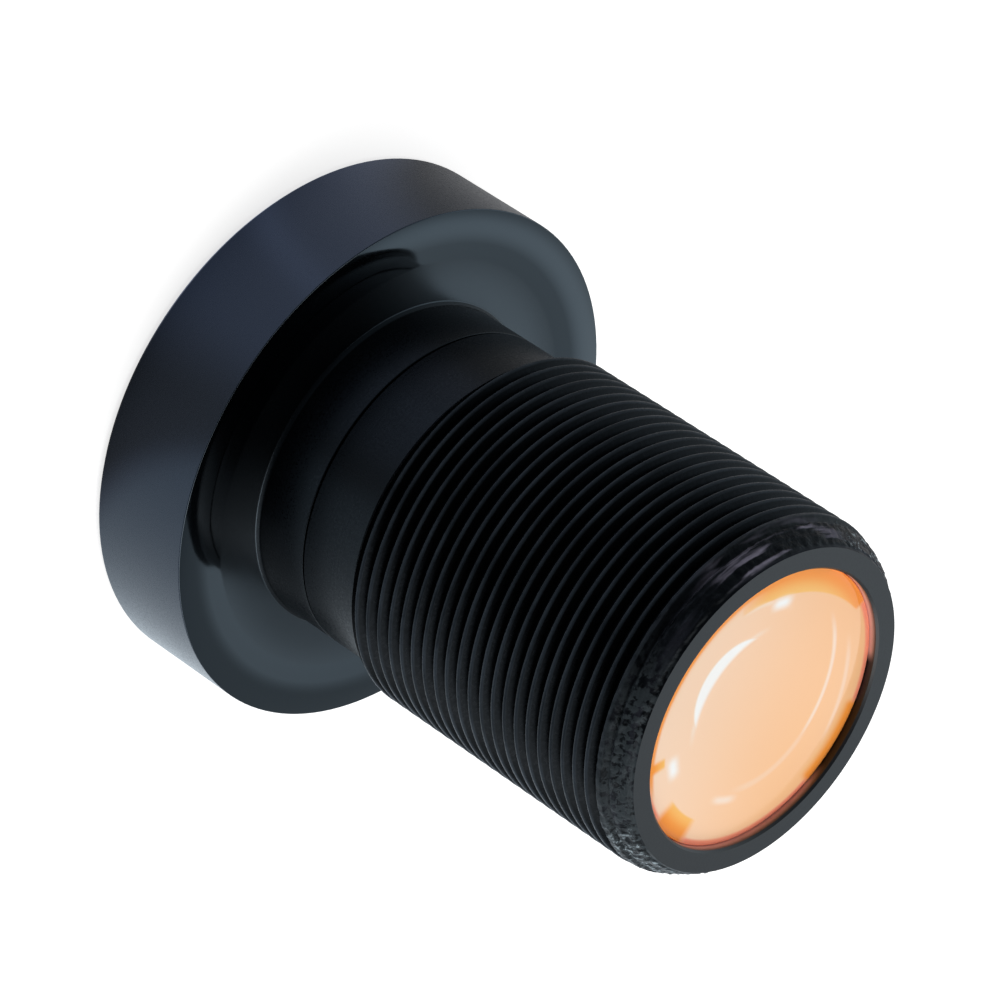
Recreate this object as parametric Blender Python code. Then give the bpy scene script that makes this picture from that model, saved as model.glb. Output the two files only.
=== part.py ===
"""A board camera lens with an M12 x 0.5 thread, standing on its front rim.

Everything is turned about the Z axis. The front rim lies at z = 0, and the rear face, which looks at
the image sensor, is at the top. Light enters through the head, passes seven glass elements and leaves
through the infrared filter that closes the barrel. The pieces are set one behind the other, and the
barrel is as long as what it holds.
"""
import math
from collections import namedtuple

import bmesh
import bpy
from mathutils import Vector

# Sides of every turned piece. All pieces share them, so that nested pieces keep their clearance.
FACETS = 36
# Rings of faces between the middle of a curved glass face and its edge
GLASS_RINGS = 2
FILLET_STEPS = 3
SEAL_SIDES = 8
WELD_DISTANCE = 1e-7
SHARP_ANGLE = 30.0         # degrees between two faces whose common edge stays sharp

# Fits
BORE_FIT = 0.00002         # radial gap of a piece in its bore
FACE_FIT = 0.00002         # gap between two faces that seat on each other

# Thread
THREAD_DIAMETER = 0.0120
THREAD_PITCH = 0.0005
THREAD_FLANK_ANGLE = 30.0  # degrees between a flank and the plane across the axis
CREST_SHARE = 1 / 8        # part of the pitch that stays flat on the crest
STOCK_ALLOWANCE = 0.0001   # by which the turned blank stands clear of the thread's crests

# Barrel
NECK_STEP = 0.0005         # height of the thread above the neck
NECK_LENGTH = 0.00225      # from the seam to the foot of the thread
NECK_WALL = 0.00053        # barrel round the head's spigot
BARREL_WALL = 0.0013       # barrel round the stack, up to the thread's crests
LIP_WIDTH = 0.0008         # lip inside the barrel that the stack rests on
LIP_LENGTH = 0.0005
REAR_CHAMFER = 0.00057
BORE_CHAMFER = 0.00006
SEAM_CHAMFER = 0.00006     # broken edges on both sides of the seam between head and barrel

# Head: the wide housing at the front, with the collar and the spigot that carry the barrel
HEAD_DIAMETER = 0.0175
HEAD_LENGTH = 0.00395
DISH_WIDTH = 0.0015        # shallow recess in the head's rear face, round the neck
DISH_DEPTH = 0.00008
ROOT_FILLET = 0.00015      # between the head's rear face and the neck
RIM_WIDTH = 0.00115        # head round the retaining ring
RIM_CHAMFER = 0.0002
HEAD_EDGE_CHAMFER = 0.0001
COLLAR_LENGTH = 0.0020
COLLAR_WALL = 0.0010       # collar round the second element
SPIGOT_LENGTH = 0.0016

# Front retaining ring and its seal
RING_RECESS = 0.00025
RING_THICKNESS = 0.0009
RING_LEDGE = 0.00055       # step from the ring's bore to the front element's bore
RING_MARGIN = 0.0002       # by which the ring's bore clears the front element's curved face
RING_FLARE = 0.0005        # by which the ring's bore widens towards the front
SLOT_WIDTH = 0.0010
SLOT_DEPTH = 0.0004
SEAL_SECTION = 0.00056

# Thin light shields and the aperture stop
SHIELD_THICKNESS = 0.0001
STOP_DIAMETER = 0.0036
STOP_CONE = 0.0009         # by which the spacers' bores are wider than the stop's hole, all round

# Glass elements, from the front. A curve is positive where its centre lies behind the face. The
# thinnest place is the edge of a convex element and the middle of a concave one. The flange is the
# flat ring between the curved faces and the edge.
FIRST_FRONT_CURVE = 0.0240
FIRST_REAR_CURVE = 0.0700
FIRST_THINNEST = 0.00111
FIRST_FLANGE = 0.0009
SECOND_FRONT_CURVE = 0.0160
SECOND_REAR_CURVE = 0.0055
SECOND_THINNEST = 0.0012
SECOND_FLANGE = 0.00095
THIRD_FRONT_CURVE = 0.0090
THIRD_REAR_CURVE = -0.0120
THIRD_THINNEST = 0.0010
LIP_MARGIN = 0.0002        # by which the third element's curved face clears the lip
FOURTH_FRONT_CURVE = -0.0070
FOURTH_THINNEST = 0.0008
PAIR_CURVE = 0.0065        # cemented faces of the fourth and the fifth element
PAIR_FLANGE = 0.0012
FIFTH_REAR_CURVE = -0.0090
FIFTH_THINNEST = 0.0006
SIXTH_FRONT_CURVE = 0.0140
SIXTH_REAR_CURVE = -0.0300
SIXTH_THINNEST = 0.0007
SIXTH_FLANGE = 0.0008
SEVENTH_FRONT_CURVE = 0.0120
SEVENTH_REAR_CURVE = -0.0160
SEVENTH_THINNEST = 0.0007
SEVENTH_FLANGE = 0.0006

# Air on the axis
SECOND_AIR = 0.00047       # between the first and the second element
STOP_AIR = 0.0004          # between the third element and the stop
FOURTH_AIR = 0.0018        # between the stop and the fourth element
SIXTH_AIR = 0.0002         # between the fifth and the sixth element
SEVENTH_AIR = 0.00012      # between the sixth and the seventh element
FILTER_AIR = 0.0006875     # between the seventh element and the filter

# Infrared filter at the rear
FILTER_THICKNESS = 0.0005
FILTER_RECESS = 0.0003
FILTER_LEDGE = 0.0003      # width of the seat's rim that the filter rests on

# Radii that follow from the sizes above
THREAD_RADIUS = THREAD_DIAMETER / 2
NECK_RADIUS = THREAD_RADIUS - NECK_STEP
HEAD_RADIUS = HEAD_DIAMETER / 2
BORE_RADIUS = THREAD_RADIUS - BARREL_WALL
STACK_RADIUS = BORE_RADIUS - BORE_FIT
LIGHT_RADIUS = BORE_RADIUS - LIP_WIDTH
COUNTERBORE_RADIUS = NECK_RADIUS - NECK_WALL
RING_BORE_RADIUS = HEAD_RADIUS - RIM_WIDTH
FIRST_BORE_RADIUS = RING_BORE_RADIUS - RING_LEDGE
SECOND_BORE_RADIUS = NECK_RADIUS - COLLAR_WALL

# Heights in the head that follow from the sizes above
RING_REAR = RING_RECESS + RING_THICKNESS
SEAL_FRONT = RING_REAR + FACE_FIT
FIRST_SEAT = SEAL_FRONT + SEAL_SECTION + FACE_FIT
SHIELD_FRONT = FIRST_SEAT + FIRST_THINNEST + FACE_FIT
FLOOR_FRONT = SHIELD_FRONT + SHIELD_THICKNESS + FACE_FIT
COLLAR_END = HEAD_LENGTH + COLLAR_LENGTH
SPIGOT_END = COLLAR_END + SPIGOT_LENGTH
BARREL_FRONT = COLLAR_END + FACE_FIT
THREAD_FOOT = COLLAR_END + NECK_LENGTH
LIP_FRONT = SPIGOT_END + FACE_FIT
LIP_REAR = LIP_FRONT + LIP_LENGTH

# Colour, roughness and metallic value of each finish
BLACK_ANODISED = ((0.020, 0.021, 0.028), 0.42, 0.6)
BLACKENED_BRASS = ((0.015, 0.015, 0.017), 0.55, 0.4)
BLACK_FILM = ((0.010, 0.010, 0.011), 0.8, 0.0)
BLACK_RUBBER = ((0.018, 0.018, 0.018), 0.7, 0.0)
CLEAR_GLASS = ((0.80, 0.86, 0.88), 0.03, 0.0)
FILTER_GLASS = ((1.0, 0.62, 0.40), 0.05, 0.0)

Glass = namedtuple("Glass", "name radius front_curve rear_curve clear thickness")


def clear_scene():
    for obj in list(bpy.data.objects):
        bpy.data.objects.remove(obj, do_unlink=True)


def make_material(name, finish):
    colour, roughness, metallic = finish
    material = bpy.data.materials.new(name)
    material.use_nodes = True
    shader = material.node_tree.nodes["Principled BSDF"]
    shader.inputs["Base Color"].default_value = (*colour, 1.0)
    shader.inputs["Roughness"].default_value = roughness
    shader.inputs["Metallic"].default_value = metallic
    material.diffuse_color = (*colour, 1.0)
    return material


def add_object(name, bm, finish=None):
    """Put a bmesh into the scene, shaded smooth except over its edges; without a finish it is a tool."""
    bmesh.ops.recalc_face_normals(bm, faces=bm.faces)
    mesh = bpy.data.meshes.new(name)
    bm.to_mesh(mesh)
    bm.free()
    mesh.shade_smooth()
    mesh.set_sharp_from_angle(angle=math.radians(SHARP_ANGLE))
    obj = bpy.data.objects.new(name, mesh)
    bpy.context.collection.objects.link(obj)
    if finish is None:
        obj.hide_render = True
        obj.display_type = "WIRE"
    else:
        mesh.materials.append(make_material(name, finish))
    return obj


def boolean(obj, tool, operation):
    modifier = obj.modifiers.new(operation.lower(), "BOOLEAN")
    modifier.operation = operation
    modifier.solver = "EXACT"
    modifier.object = tool


def turned_mesh(outline, closed):
    """Turn an outline of (radius, height) points about Z; an open outline starts and ends on the axis."""
    bm = bmesh.new()
    points = [bm.verts.new((radius, 0, height)) for radius, height in outline]
    pairs = list(zip(points, points[1:]))
    if closed:
        pairs.append((points[-1], points[0]))
    edges = [bm.edges.new(pair) for pair in pairs]
    bmesh.ops.spin(bm, geom=points + edges, cent=(0, 0, 0), axis=(0, 0, 1), angle=2 * math.pi,
                   steps=FACETS, use_merge=True)
    bmesh.ops.remove_doubles(bm, verts=bm.verts, dist=WELD_DISTANCE)
    return bm


def turned_ring(name, outline, finish):
    return add_object(name, turned_mesh(outline, closed=True), finish)


def washer(name, outer_radius, front, rear, front_bore, rear_bore, finish):
    """A ring with flat faces, whose bore may be a cone; all are radii and heights."""
    outline = [(outer_radius, front), (outer_radius, rear), (rear_bore, rear), (front_bore, front)]
    return turned_ring(name, outline, finish)


def sag(curve, radius):
    """Height of a curved face at a radius, measured from its middle."""
    return curve - math.copysign(math.sqrt(curve ** 2 - radius ** 2), curve)


def glass(name, radius, front_curve, rear_curve, thinnest, flange):
    """What one element is made from; its thickness on the axis follows from its thinnest place."""
    clear = radius - flange
    bulge = sag(front_curve, clear) - sag(rear_curve, clear)
    return Glass(name, radius, front_curve, rear_curve, clear, thinnest + max(0.0, bulge))


def front_flange(element, vertex):
    """Height of the front flange of an element whose front face has its middle at the vertex."""
    return vertex + sag(element.front_curve, element.clear)


def rear_flange(element, vertex):
    return vertex + element.thickness + sag(element.rear_curve, element.clear)


def glass_element(element, vertex):
    """Two spherical faces, a flat flange round each and a ground edge."""
    front_steps = [element.clear * i / GLASS_RINGS for i in range(GLASS_RINGS + 1)]
    outline = [(r, vertex + sag(element.front_curve, r)) for r in front_steps]
    outline.append((element.radius, front_flange(element, vertex)))
    outline.append((element.radius, rear_flange(element, vertex)))
    rear_vertex = vertex + element.thickness
    outline += [(r, rear_vertex + sag(element.rear_curve, r)) for r in reversed(front_steps)]
    add_object(element.name, turned_mesh(outline, closed=False), CLEAR_GLASS)


def fillet(centre_radius, centre_height, size):
    """Quarter arc of a hollow fillet, from the face below it to the wall inside it."""
    angles = [math.radians(270 - 90 * i / FILLET_STEPS) for i in range(FILLET_STEPS + 1)]
    return [(centre_radius + size * math.cos(a), centre_height + size * math.sin(a)) for a in angles]


def head_housing(second_seat):
    """The head, its collar and its spigot in one; the second element's seat is given as a height."""
    dish_radius = NECK_RADIUS + DISH_WIDTH
    dish_floor = HEAD_LENGTH - DISH_DEPTH
    spigot_radius = COUNTERBORE_RADIUS - BORE_FIT
    outline = [
        (HEAD_RADIUS - RIM_CHAMFER, 0),
        (HEAD_RADIUS, RIM_CHAMFER),
        (HEAD_RADIUS, HEAD_LENGTH - HEAD_EDGE_CHAMFER),
        (HEAD_RADIUS - HEAD_EDGE_CHAMFER, HEAD_LENGTH),
        (dish_radius, HEAD_LENGTH),
        (dish_radius - DISH_DEPTH, dish_floor),
        *fillet(NECK_RADIUS + ROOT_FILLET, dish_floor + ROOT_FILLET, ROOT_FILLET),
        (NECK_RADIUS, COLLAR_END - SEAM_CHAMFER),
        (NECK_RADIUS - SEAM_CHAMFER, COLLAR_END),
        (spigot_radius, COLLAR_END),
        (spigot_radius, SPIGOT_END),
        (LIGHT_RADIUS, SPIGOT_END),
        (LIGHT_RADIUS, second_seat),
        (SECOND_BORE_RADIUS, second_seat),
        (SECOND_BORE_RADIUS, FLOOR_FRONT),
        (FIRST_BORE_RADIUS, FLOOR_FRONT),
        (FIRST_BORE_RADIUS, RING_REAR),
        (RING_BORE_RADIUS, RING_REAR),
        (RING_BORE_RADIUS, RIM_CHAMFER),
        (RING_BORE_RADIUS + RIM_CHAMFER, 0),
    ]
    turned_ring("head_housing", outline, BLACK_ANODISED)


def thread_stock(rear_face):
    """A solid bar with the thread along all of it, longer than the barrel at both ends."""
    crest = THREAD_PITCH * CREST_SHARE
    flank_run = (THREAD_PITCH - crest) / 2
    root_radius = THREAD_RADIUS - flank_run / math.tan(math.radians(THREAD_FLANK_ANGLE))
    start = COLLAR_END - 2 * THREAD_PITCH
    turns = math.ceil((rear_face - COLLAR_END) / THREAD_PITCH) + 4
    outline = [
        (root_radius, start),
        (THREAD_RADIUS, start + flank_run),
        (THREAD_RADIUS, start + flank_run + crest),
        (root_radius, start + THREAD_PITCH),
    ]
    bm = bmesh.new()
    points = [bm.verts.new((radius, 0, height)) for radius, height in outline]
    edges = [bm.edges.new(pair) for pair in zip(points, points[1:])]
    bmesh.ops.spin(bm, geom=points + edges, cent=(0, 0, 0), axis=(0, 0, 1), angle=2 * math.pi * turns,
                   dvec=(0, 0, THREAD_PITCH / FACETS), steps=FACETS * turns)
    bmesh.ops.remove_doubles(bm, verts=bm.verts, dist=WELD_DISTANCE)
    for height, outwards in ((COLLAR_END - THREAD_PITCH / 2, -1), (rear_face + THREAD_PITCH / 2, 1)):
        bmesh.ops.bisect_plane(bm, geom=bm.verts[:] + bm.edges[:] + bm.faces[:], dist=WELD_DISTANCE,
                               plane_co=(0, 0, height), plane_no=(0, 0, outwards), clear_outer=True)
    bmesh.ops.holes_fill(bm, edges=[edge for edge in bm.edges if edge.is_boundary], sides=0)
    return add_object("thread_stock", bm)


def threaded_barrel(rear_face):
    """The threaded bar, turned and bored to the barrel's outline, so that the thread runs out over both
    chamfers."""
    blank = THREAD_RADIUS + STOCK_ALLOWANCE
    outline = [
        (NECK_RADIUS - SEAM_CHAMFER, BARREL_FRONT),
        (NECK_RADIUS, BARREL_FRONT + SEAM_CHAMFER),
        (NECK_RADIUS, THREAD_FOOT),
        (blank, THREAD_FOOT + blank - NECK_RADIUS),
        (blank, rear_face - REAR_CHAMFER - STOCK_ALLOWANCE),
        (THREAD_RADIUS - REAR_CHAMFER, rear_face),
        (BORE_RADIUS + BORE_CHAMFER, rear_face),
        (BORE_RADIUS, rear_face - BORE_CHAMFER),
        (BORE_RADIUS, LIP_REAR),
        (LIGHT_RADIUS, LIP_REAR),
        (LIGHT_RADIUS, LIP_FRONT),
        (COUNTERBORE_RADIUS, LIP_FRONT),
        (COUNTERBORE_RADIUS, BARREL_FRONT),
    ]
    barrel = turned_ring("threaded_barrel", outline, BLACK_ANODISED)
    boolean(barrel, thread_stock(rear_face), "INTERSECT")


def slot_cutter():
    """A bar across the head, half of it in front of the ring and half of it as deep as the slots."""
    bm = bmesh.new()
    bmesh.ops.create_cube(bm, size=1)
    bmesh.ops.scale(bm, vec=Vector((2 * HEAD_RADIUS, SLOT_WIDTH, 2 * SLOT_DEPTH)), verts=bm.verts)
    bmesh.ops.translate(bm, vec=(0, 0, RING_RECESS), verts=bm.verts)
    return add_object("slot_cutter", bm)


def front_retaining_ring(clear):
    """The ring that screws in from the front; its bore leaves the element's curved face free."""
    rear_bore = clear + RING_MARGIN
    ring = washer("front_retaining_ring", RING_BORE_RADIUS - BORE_FIT, RING_RECESS, RING_REAR,
                  rear_bore + RING_FLARE, rear_bore, BLACK_ANODISED)
    boolean(ring, slot_cutter(), "DIFFERENCE")


def front_seal_ring(inner_radius):
    """An O-ring between the retaining ring and the front element's flange."""
    middle = (inner_radius + FIRST_BORE_RADIUS) / 2
    half = SEAL_SECTION / 2
    angles = [2 * math.pi * i / SEAL_SIDES for i in range(SEAL_SIDES)]
    outline = [(middle + half * math.cos(a), SEAL_FRONT + half + half * math.sin(a)) for a in angles]
    turned_ring("front_seal_ring", outline, BLACK_RUBBER)


def head_group():
    """The head and the pieces in it."""
    first = glass("front_element", FIRST_BORE_RADIUS - BORE_FIT, FIRST_FRONT_CURVE, FIRST_REAR_CURVE,
                  FIRST_THINNEST, FIRST_FLANGE)
    second = glass("second_element", SECOND_BORE_RADIUS - BORE_FIT, SECOND_FRONT_CURVE,
                   SECOND_REAR_CURVE, SECOND_THINNEST, SECOND_FLANGE)
    first_vertex = FIRST_SEAT - sag(first.front_curve, first.clear)
    second_vertex = first_vertex + first.thickness + SECOND_AIR

    head_housing(rear_flange(second, second_vertex) + FACE_FIT)
    front_retaining_ring(first.clear)
    front_seal_ring(first.clear)
    glass_element(first, first_vertex)
    washer("front_shield", first.radius, SHIELD_FRONT, SHIELD_FRONT + SHIELD_THICKNESS, second.clear,
           second.clear, BLACK_FILM)
    washer("head_spacer", second.radius, FLOOR_FRONT, front_flange(second, second_vertex) - FACE_FIT,
           second.clear, second.clear, BLACKENED_BRASS)
    glass_element(second, second_vertex)


def spacer(name, front, rear, front_bore, rear_bore):
    """A turned ring that fills the stack between two seats."""
    washer(name, STACK_RADIUS, front + FACE_FIT, rear - FACE_FIT, front_bore, rear_bore,
           BLACKENED_BRASS)


def shield(name, front, bore):
    """A thin film in the stack, close behind a seat; the height of its own rear face is returned."""
    rear = front + FACE_FIT + SHIELD_THICKNESS
    washer(name, STACK_RADIUS, front + FACE_FIT, rear, bore, bore, BLACK_FILM)
    return rear


def barrel_stack():
    """The pieces in the barrel, from its lip to the filter; the height of the filter's rear is returned."""
    third = glass("third_element", STACK_RADIUS, THIRD_FRONT_CURVE, THIRD_REAR_CURVE, THIRD_THINNEST,
                  LIP_WIDTH + LIP_MARGIN)
    fourth = glass("fourth_element", STACK_RADIUS, FOURTH_FRONT_CURVE, PAIR_CURVE, FOURTH_THINNEST,
                   PAIR_FLANGE)
    fifth = glass("fifth_element", STACK_RADIUS, PAIR_CURVE, FIFTH_REAR_CURVE, FIFTH_THINNEST,
                  PAIR_FLANGE)
    sixth = glass("sixth_element", STACK_RADIUS, SIXTH_FRONT_CURVE, SIXTH_REAR_CURVE, SIXTH_THINNEST,
                  SIXTH_FLANGE)
    seventh = glass("seventh_element", STACK_RADIUS, SEVENTH_FRONT_CURVE, SEVENTH_REAR_CURVE,
                    SEVENTH_THINNEST, SEVENTH_FLANGE)
    stop_radius = STOP_DIAMETER / 2

    third_vertex = LIP_REAR + FACE_FIT - sag(third.front_curve, third.clear)
    glass_element(third, third_vertex)
    stop_front = third_vertex + third.thickness + STOP_AIR
    spacer("first_spacer", rear_flange(third, third_vertex), stop_front, third.clear,
           stop_radius + STOP_CONE)
    stop_rear = shield("aperture_stop", stop_front - FACE_FIT, stop_radius)

    fourth_vertex = stop_rear + FOURTH_AIR
    spacer("stop_spacer", stop_rear, front_flange(fourth, fourth_vertex), stop_radius + STOP_CONE,
           fourth.clear)
    glass_element(fourth, fourth_vertex)
    fifth_vertex = fourth_vertex + fourth.thickness + FACE_FIT
    glass_element(fifth, fifth_vertex)

    sixth_vertex = fifth_vertex + fifth.thickness + SIXTH_AIR
    middle_rear = shield("middle_shield", rear_flange(fifth, fifth_vertex), fifth.clear)
    spacer("second_spacer", middle_rear, front_flange(sixth, sixth_vertex), fifth.clear, sixth.clear)
    glass_element(sixth, sixth_vertex)

    seventh_vertex = sixth_vertex + sixth.thickness + SEVENTH_AIR
    rear_rear = shield("rear_shield", rear_flange(sixth, sixth_vertex), sixth.clear)
    spacer("third_spacer", rear_rear, front_flange(seventh, seventh_vertex), sixth.clear, seventh.clear)
    glass_element(seventh, seventh_vertex)

    filter_front = seventh_vertex + seventh.thickness + FILTER_AIR
    filter_rear = filter_front + FILTER_THICKNESS
    spacer("filter_seat", rear_flange(seventh, seventh_vertex), filter_front, seventh.clear,
           STACK_RADIUS - FILTER_LEDGE)
    outline = [(0, filter_front), (STACK_RADIUS, filter_front), (STACK_RADIUS, filter_rear),
               (0, filter_rear)]
    add_object("infrared_filter", turned_mesh(outline, closed=False), FILTER_GLASS)
    return filter_rear


def main():
    clear_scene()
    head_group()
    threaded_barrel(barrel_stack() + FILTER_RECESS)


main()
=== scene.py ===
"""Looks of a board camera lens, seen from the end that faces the image sensor.

All lengths are in metres. Z runs along the optical axis, from the front rim of the head, at z = 0, to the
rear face of the barrel.
"""
from collections import namedtuple
import math

import bpy
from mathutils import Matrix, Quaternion, Vector


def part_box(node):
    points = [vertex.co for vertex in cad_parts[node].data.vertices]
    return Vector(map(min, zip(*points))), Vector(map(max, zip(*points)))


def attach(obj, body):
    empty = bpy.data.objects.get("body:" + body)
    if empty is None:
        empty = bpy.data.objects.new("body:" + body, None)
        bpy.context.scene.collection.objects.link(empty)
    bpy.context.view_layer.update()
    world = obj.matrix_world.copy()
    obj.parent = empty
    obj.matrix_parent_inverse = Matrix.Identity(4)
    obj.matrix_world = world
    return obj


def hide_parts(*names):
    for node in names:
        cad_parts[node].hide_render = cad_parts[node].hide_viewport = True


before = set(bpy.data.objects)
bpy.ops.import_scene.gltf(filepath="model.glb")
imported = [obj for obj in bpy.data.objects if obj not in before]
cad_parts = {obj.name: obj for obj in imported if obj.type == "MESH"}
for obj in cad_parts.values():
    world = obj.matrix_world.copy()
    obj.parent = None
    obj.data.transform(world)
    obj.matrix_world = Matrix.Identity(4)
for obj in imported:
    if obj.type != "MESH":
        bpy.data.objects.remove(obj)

# An arc of painted highlight: its centre, radius, width, two directions, the fade at its ends and its
# strength
Arc = namedtuple("Arc", "centre radius width start end fade strength")

MM = 0.001
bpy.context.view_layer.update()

# Sides of the turned pieces, and steps of a curved glass face from its middle to its edge
SIDES = 144
GLASS_STEPS = 18
MERGE_DISTANCE = 1e-6
SMOOTH_ANGLE = math.radians(30)
EDGE_BREAK = 0.035 * MM
EDGE_STEPS = 3

# Least rearward part of the normal of faces that count as the head's rear face and the barrel's flat ring
FACE_NORMAL = 0.8
RING_NORMAL = 0.5

# Gap between pieces that seat on each other
CLEARANCE = 0.02 * MM

# Camera, at the photograph's viewing angle
CAMERA_PLACE = Vector((-0.914, -154.714, 118.304)) * MM
CAMERA_AIM = Vector((-0.914, 0.0, 8.086)) * MM
CAMERA_ROLL = math.radians(123.253)
CAMERA_LENS = 223.02
CAMERA_SENSOR = 36.0

# Head
HEAD_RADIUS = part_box("head_housing")[1].x
HEAD_LENGTH = 3.95 * MM
RIM_CHAMFER = 0.2 * MM
DISH_RADIUS = 7.0 * MM
DISH_DEPTH = 0.08 * MM
DISH_SLOPE = 0.6 * MM
NECK_RADIUS = 5.5 * MM
ROOT_RING_WIDTH = 0.10 * MM
COLLAR_LENGTH = 2.0 * MM
COLLAR_END = HEAD_LENGTH + COLLAR_LENGTH
SEAM_WIDTH = 0.09 * MM
SPIGOT_RADIUS = 4.95 * MM
SPIGOT_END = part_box("head_housing")[1].z
LIGHT_RADIUS = 3.9 * MM
SECOND_BORE_RADIUS = 4.5 * MM
SECOND_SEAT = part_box("second_element")[1].z
FLOOR_FRONT = 3.0 * MM
FIRST_BORE_RADIUS = 7.05 * MM
RING_BORE_RADIUS = 7.6 * MM
RING_SEAT = 1.15 * MM

# Barrel
REAR_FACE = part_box("threaded_barrel")[1].z
THREAD_RADIUS = 6.0 * MM
THREAD_PITCH = 0.5 * MM
THREAD_FLANK = math.radians(30)
CREST_ROUND = 0.08 * MM
CREST_STEPS = 6
ROOT_ROUND = 0.055 * MM
ROOT_STEPS = 2
NECK_LENGTH = 2.25 * MM
THREAD_FOOT = COLLAR_END + NECK_LENGTH
NECK_COAT_END = THREAD_FOOT - 0.1 * MM
REAR_CHAMFER = 0.57 * MM
FLAT_RING_RADIUS = THREAD_RADIUS - REAR_CHAMFER
BARREL_BORE = 4.7 * MM
BORE_CHAMFER = 0.07 * MM
LIP_FRONT = SPIGOT_END + CLEARANCE
LIP_THICKNESS = 0.5 * MM
LIP_REAR = LIP_FRONT + LIP_THICKNESS
COUNTERBORE = SPIGOT_RADIUS + CLEARANCE
BLANK_SIDES = 432
BLANK_OVERSIZE = 0.1 * MM

# Worn rear corner: its length and rounding, its lumps, and where they fade beside the ring and the thread
WORN_LENGTH = 1.2 * MM
WORN_STEPS = 20
WORN_CURVE = 1.5
WORN_LUMPS = 0.11 * MM
LUMP_SIZE = 0.22 * MM
EVEN_EDGE = 0.03 * MM
FADE_TO_RING = 0.12 * MM
FADE_TO_THREAD = 0.3 * MM
FULL_WEAR_DEPTH = 0.7 * MM

# Front retaining ring and seal
RING_RADIUS = RING_BORE_RADIUS - CLEARANCE
RING_MOUTH_RADIUS = 6.83 * MM
RING_HOLE_RADIUS = 6.33 * MM
RING_EDGE_BREAK = 0.03 * MM
RING_EDGE_STEPS = 2
SLOT_WIDTH = 1.0 * MM
SLOT_DEPTH = 0.4 * MM
SEAL_STEPS = 16

# Elements in the head: the curves are the radii of the front and the rear face
FRONT_ELEMENT_RADIUS = FIRST_BORE_RADIUS - CLEARANCE
FRONT_CLEAR_RADIUS = 6.13 * MM
FRONT_CURVES = (24 * MM, 70 * MM)
SECOND_ELEMENT_RADIUS = SECOND_BORE_RADIUS - CLEARANCE
SECOND_CLEAR_RADIUS = 3.53 * MM
SECOND_CURVES = (16 * MM, 5.5 * MM)

# Filter: its rear face, its edge, the reddish rim of its coating and the height of the painted reflection
# of its glow on the wall
FILTER_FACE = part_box("infrared_filter")[1].z
FILTER_EDGE_BREAK = 0.04 * MM
RIM_RADIUS = 4.45 * MM
RIM_EDGE = (RIM_RADIUS - 0.03 * MM, RIM_RADIUS + 0.1 * MM)
PAINTED_GLOW_HEIGHT = 0.25 * MM

# Sizes of textures
TURNING_MARKS = 0.05 * MM
GRAIN = 0.07 * MM
PATCHES = 2.5 * MM
CLOUDS = 1.2 * MM
THREAD_GRAIN = 0.12 * MM
THREAD_STRETCHES = 1.5 * MM
STREAK_LENGTH = 2.2 * MM
STREAK_WIDTH = 0.22 * MM
PITS = 0.22 * MM
FLAKES = 0.22 * MM
DUST = 0.4 * MM
FILM_GRAIN = 0.05 * MM
RUBBER_GRAIN = 0.1 * MM

# Heights of what the textures raise
FINE_RELIEF = 0.002 * MM
DULL_RELIEF = 0.003 * MM
THREAD_RELIEF = 0.01 * MM
WORN_RELIEF = 0.15 * MM

# Stretches round the axis: start, end and fade in degrees, counter-clockwise from +X
SCUFFED_SIDE = (198, 246, 9)
PITTED_SIDE = (278, 372, 14)
FLAKED_ENDS = ((160, 188, 8), (338, 368, 8))
PAINTED_GLOW_WALLS = ((-25, 80, 6), (131, 190, 3))
LONG_AMBER = (159, 240, 1.5)
LONG_AMBER_FADE = (120, 236, 14)
SHORT_AMBER = ((-16, 6, 3), (-44.5, -39.5, 1.5))
FAR_AMBER = (76, 112, 2)
NEAR_AMBER = (235, 290, 12)
PAINTED_EDGE_GLOW = (185, 330, 8)
DIM_FLOOR = (-156, -88, 12)
FLOOR_STREAK = (-124, -117, 5)

# Radii where the dish's satin finish starts to fade and ends
SATIN_EDGE = (DISH_RADIUS - 0.05 * MM, DISH_RADIUS + 0.1 * MM)

# Radii where the thread's crests start to be grey and are so in full
CREST_EDGE = (THREAD_RADIUS - 0.075 * MM, THREAD_RADIUS - 0.01 * MM)

# Span across the filter over which the peach gets paler, and the radius where the amber starts to deepen
PALE_SPAN = (-4 * MM, 6 * MM)
AMBER_RADIUS = 3.8 * MM

# Round edges of the coating's colours, of the painted glow along its edge and of the painted crescent
# highlight: a centre, and the radii where the colour starts and is full
LONG_AMBER_CENTRE = (1.42 * MM, 0.90 * MM)
LONG_AMBER_EDGE = (5.42 * MM, 5.50 * MM)
SHORT_AMBER_EDGE = (3.82 * MM, 3.92 * MM)
FAR_AMBER_EDGE = (4.0 * MM, 4.5 * MM)
NEAR_AMBER_EDGE = (4.0 * MM, 4.3 * MM)
PAINTED_EDGE_GLOW_CENTRE = (0, 0.42 * MM)
PAINTED_EDGE_GLOW_EDGE = (4.54 * MM, 4.68 * MM)
PAINTED_CRESCENT_EDGE = (2.60 * MM, 2.82 * MM)
PAINTED_CRESCENT_BACK_CENTRE = (-0.04 * MM, -1.49 * MM)
PAINTED_CRESCENT_BACK_EDGE = (1.68 * MM, 1.80 * MM)
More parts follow.
